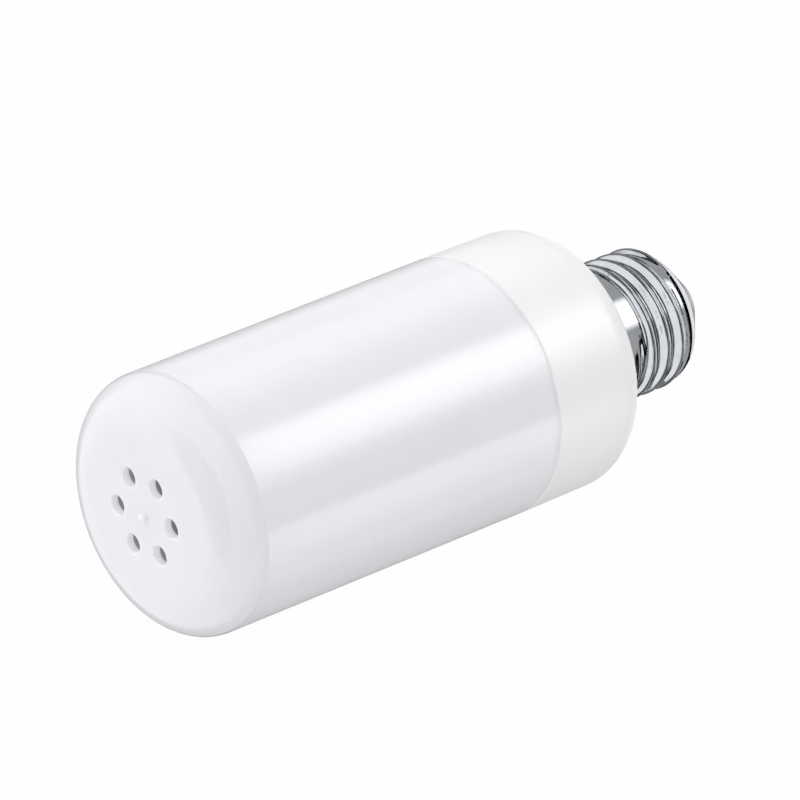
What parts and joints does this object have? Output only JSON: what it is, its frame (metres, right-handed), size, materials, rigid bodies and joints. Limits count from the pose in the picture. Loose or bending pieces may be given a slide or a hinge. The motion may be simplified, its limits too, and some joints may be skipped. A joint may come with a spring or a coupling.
{
  "type": "flame effect led bulb",
  "caption": "Cylindrical flame effect lamp: milky cover with a vented end, white bowl housing and a screw cap; a drum of small lights stands inside.",
  "frame": {"origin": "tip of the centre contact, on the lamp's axis", "axes": "+Z along the axis from the contact to the vented end; +X through the middle of one vent hole"},
  "size_m": [0.048, 0.048, 0.1268],
  "materials": {
    "milky_cover": "milky, semi gloss, lets diffuse light through",
    "white_housing": "satin white moulding",
    "plated_shell": "bright nickel plate on thin rolled sheet",
    "white_insulator": "glossy white moulding",
    "plated_contact": "dull nickel plate",
    "red_insulation": "smooth wire insulation",
    "tinned_wire": "bare tinned wire",
    "green_board": "solder mask over glass fibre board",
    "resistor_coat": "flame proof lacquer",
    "black_package": "moulded package with tinned leads",
    "can_sleeve": "shrink sleeve on an aluminium can",
    "ferrite": "ground ferrite",
    "copper_winding": "enamelled copper",
    "black_strip": "moulded strip",
    "plated_pins": "bright plated",
    "chip_resistor": "ceramic chip with tinned ends",
    "white_drum": "satin white moulding",
    "steel_screw": "zinc plated",
    "light_sheet": "white solder mask on flexible or rigid board",
    "warm_light": "phosphor window in a white package",
    "lead_insulation": "smooth wire insulation"
  },
  "bodies": {
    "root": {"diffuser_cover": "milky_cover", "base_housing": "white_housing", "screw_shell": "plated_shell", "cap_insulator": "white_insulator", "centre_contact": "plated_contact", "live_wire": "red_insulation", "neutral_wire": "tinned_wire", "driver_board": "green_board", "fusible_resistor": "resistor_coat", "bridge_rectifier": "black_package", "input_capacitor": "can_sleeve", "choke_core": "ferrite", "choke_winding": "copper_winding", "driver_chip": "black_package", "buck_diode": "black_package", "output_capacitor": "can_sleeve", "pin_strip": "black_strip", "supply_pins": "plated_pins", "control_board": "green_board", "control_chip": "black_package", "row_transistors": "black_package", "row_resistors": "chip_resistor", "core_tube": "white_drum", "core_screws": "steel_screw", "led_sheet": "light_sheet", "side_leds": "warm_light", "end_leads": "lead_insulation", "end_board": "light_sheet", "end_leds": "warm_light", "end_screws": "steel_screw"}
  },
  "joints": []
}
